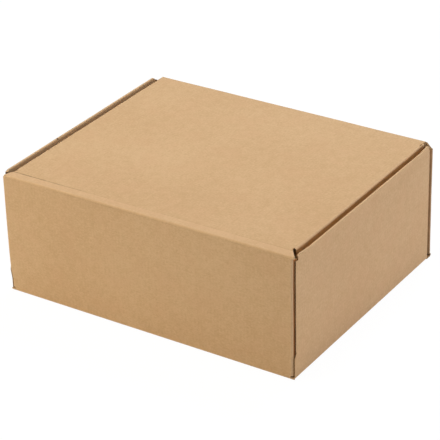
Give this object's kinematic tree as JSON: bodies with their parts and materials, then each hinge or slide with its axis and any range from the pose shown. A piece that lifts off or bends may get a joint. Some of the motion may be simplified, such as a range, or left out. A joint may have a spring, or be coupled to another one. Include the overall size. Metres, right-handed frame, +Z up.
{
  "type": "closed cardboard box",
  "caption": "Self-locking mailer box of plain brown corrugated board, closed, with rolled side walls and a hinged tuck-in lid.",
  "frame": {"origin": "centre of the box's footprint, on the surface that the box stands on", "axes": "+X along the long walls, -Y towards the hinge wall that faces the viewer, +Z up"},
  "size_m": [0.3, 0.248, 0.118],
  "materials": {
    "board": "matt brown kraft liner",
    "lid_board": "matt brown kraft liner"
  },
  "bodies": {
    "tray": {"tray": "board"},
    "lid": {"lid": "lid_board"}
  },
  "joints": [
    {"name": "lid_hinge", "type": "hinge", "parent": "tray", "child": "lid", "pos_m": [0, -0.124, 0.1152], "axis": [1, 0, 0], "range_deg": [0, 175]}
  ]
}
